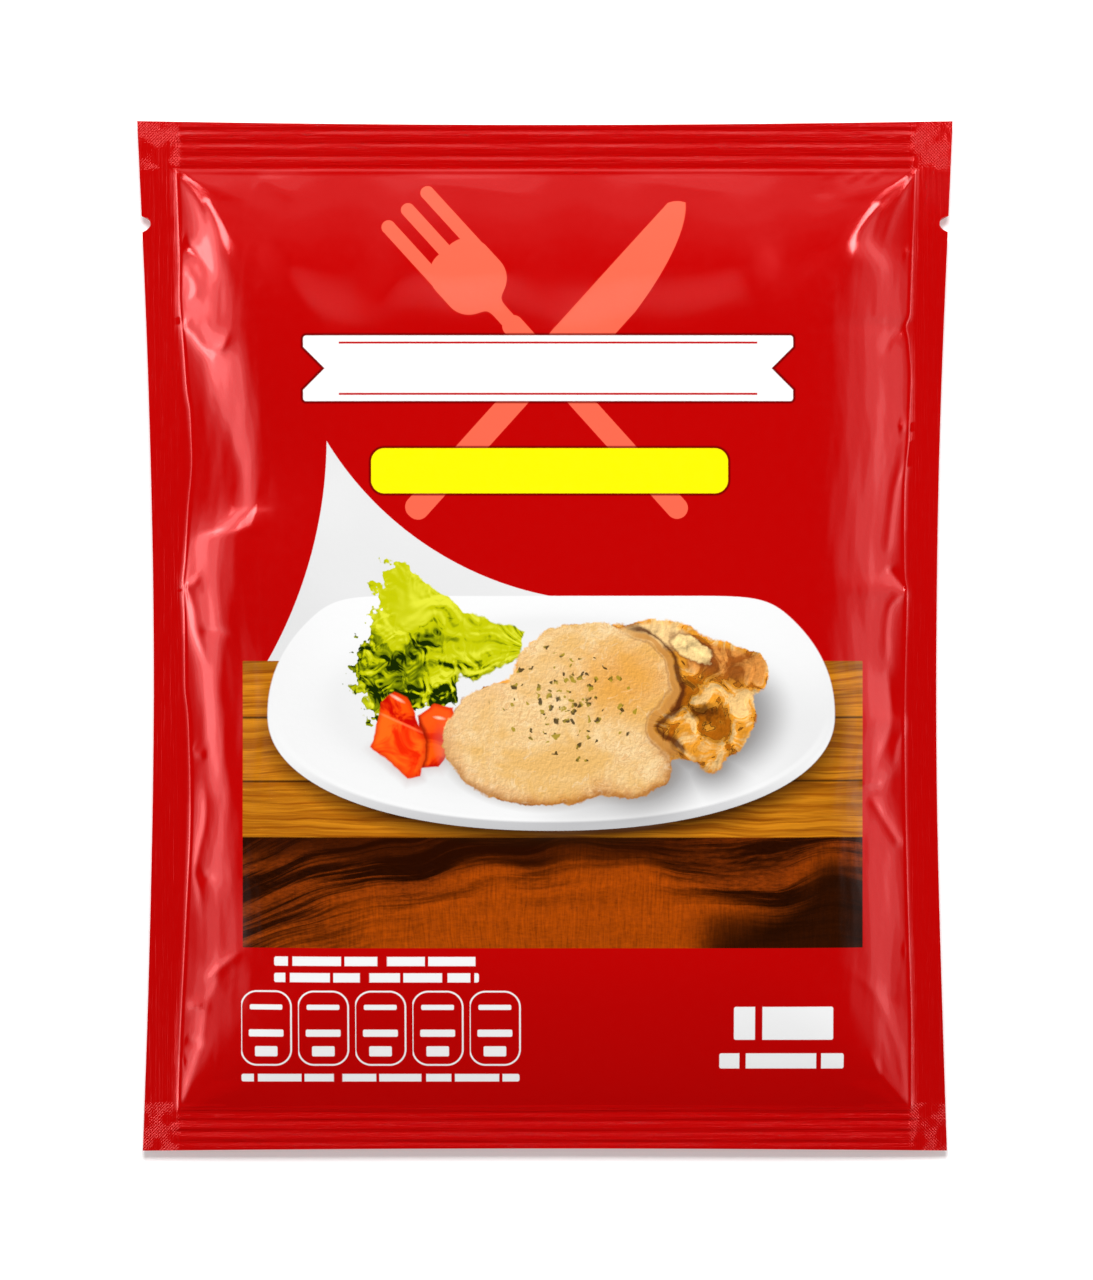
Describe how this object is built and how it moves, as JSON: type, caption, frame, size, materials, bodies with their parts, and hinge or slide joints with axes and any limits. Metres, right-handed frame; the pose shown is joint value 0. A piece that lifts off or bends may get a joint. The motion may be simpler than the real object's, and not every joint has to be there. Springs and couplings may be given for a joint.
{
  "type": "sealed meat pouch",
  "caption": "Flat film pouch of sliced meat, sealed on every side and lightly filled, with ribbed end seals and tear notches in its edges, lying on its back.",
  "frame": {"origin": "under the middle of the pouch, on the surface that its flat back lies on", "axes": "+Z out of the printed front, +Y towards the top edge of the print, +X to the right of the print as it is looked at"},
  "size_m": [0.16, 0.202, 0.014],
  "materials": {
    "film": "glossy printed laminate, red ground"
  },
  "bodies": {
    "root": {"pouch": "film"}
  },
  "joints": []
}
